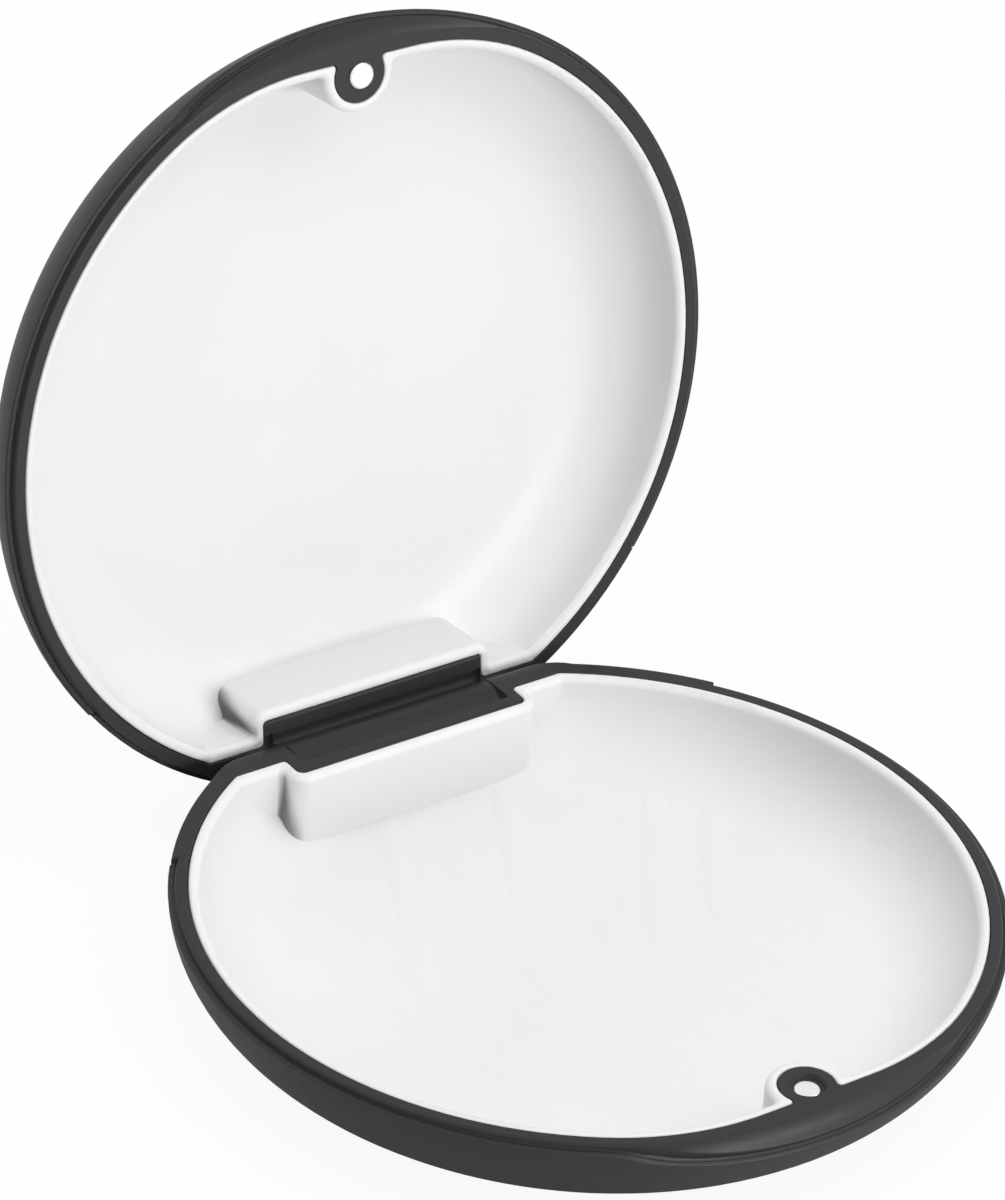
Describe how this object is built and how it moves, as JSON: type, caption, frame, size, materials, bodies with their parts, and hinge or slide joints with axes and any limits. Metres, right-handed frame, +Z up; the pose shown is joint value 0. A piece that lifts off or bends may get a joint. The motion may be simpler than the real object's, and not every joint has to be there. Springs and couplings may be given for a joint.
{
  "type": "retainer case",
  "caption": "Round hinged retainer case standing open, with dished charcoal shells, white tray liners, a thumb scoop and a small magnetic catch.",
  "frame": {"origin": "centre of the base's flat underside, on the surface that the case stands on", "axes": "+Z up out of the base, +Y from the magnet at the front to the hinge at the back, X along the hinge pin"},
  "size_m": [0.09, 0.1073, 0.0914],
  "materials": {
    "cover": "soft-touch matt charcoal",
    "frame": "fine satin charcoal",
    "liner": "smooth satin white",
    "magnet": "nickel plated",
    "pin": "ground steel"
  },
  "bodies": {
    "base": {"base_cover": "cover", "base_frame": "frame", "base_liner": "liner", "base_magnet": "magnet", "hinge_pin": "pin"},
    "lid": {"lid_cover": "cover", "lid_frame": "frame", "lid_liner": "liner", "lid_magnet": "magnet"}
  },
  "joints": [
    {"name": "lid_hinge", "type": "hinge", "parent": "base", "child": "lid", "pos_m": [0, 0.0388, 0.00965], "axis": [1, 0, 0], "range_deg": [0, 97]}
  ]
}
